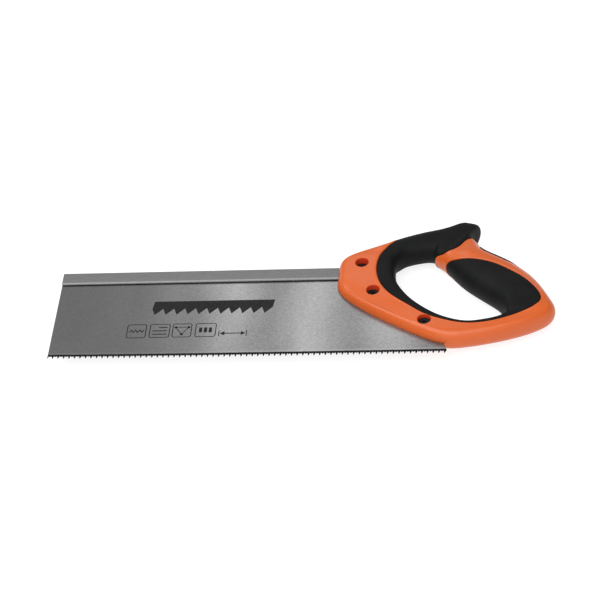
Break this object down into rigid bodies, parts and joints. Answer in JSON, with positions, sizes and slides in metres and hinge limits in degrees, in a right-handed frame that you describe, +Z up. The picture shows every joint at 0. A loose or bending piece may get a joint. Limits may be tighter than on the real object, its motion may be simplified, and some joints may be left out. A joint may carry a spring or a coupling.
{
  "type": "back saw",
  "caption": "Back saw with a straight steel blade stiffened by a folded steel back, and a closed plastic handle with an overmoulded soft grip and recessed saw screws.",
  "frame": {"origin": "centre of the lowest face of the whole saw as it lies on its side", "axes": "+X from the toe to the handle along the tooth line, +Y from the teeth to the back, +Z up, square to the blade"},
  "size_m": [0.379, 0.137, 0.0288],
  "materials": {
    "blade_steel": "fine-ground carbon steel with hardened, darkened teeth",
    "back_steel": "folded mild steel strip with a dull grey finish",
    "orange_plastic": "satin moulded polypropylene",
    "black_rubber": "matt overmoulded thermoplastic rubber",
    "screw_black": "blackened steel"
  },
  "bodies": {
    "root": {"blade": "blade_steel", "folded_back": "back_steel", "handle_body": "orange_plastic", "soft_grip": "black_rubber", "palm_inlay": "black_rubber", "saw_screw_top": "screw_black", "sleeve_nut_top": "screw_black", "saw_screw_middle": "screw_black", "sleeve_nut_middle": "screw_black", "saw_screw_lower": "screw_black", "sleeve_nut_lower": "screw_black"}
  },
  "joints": []
}
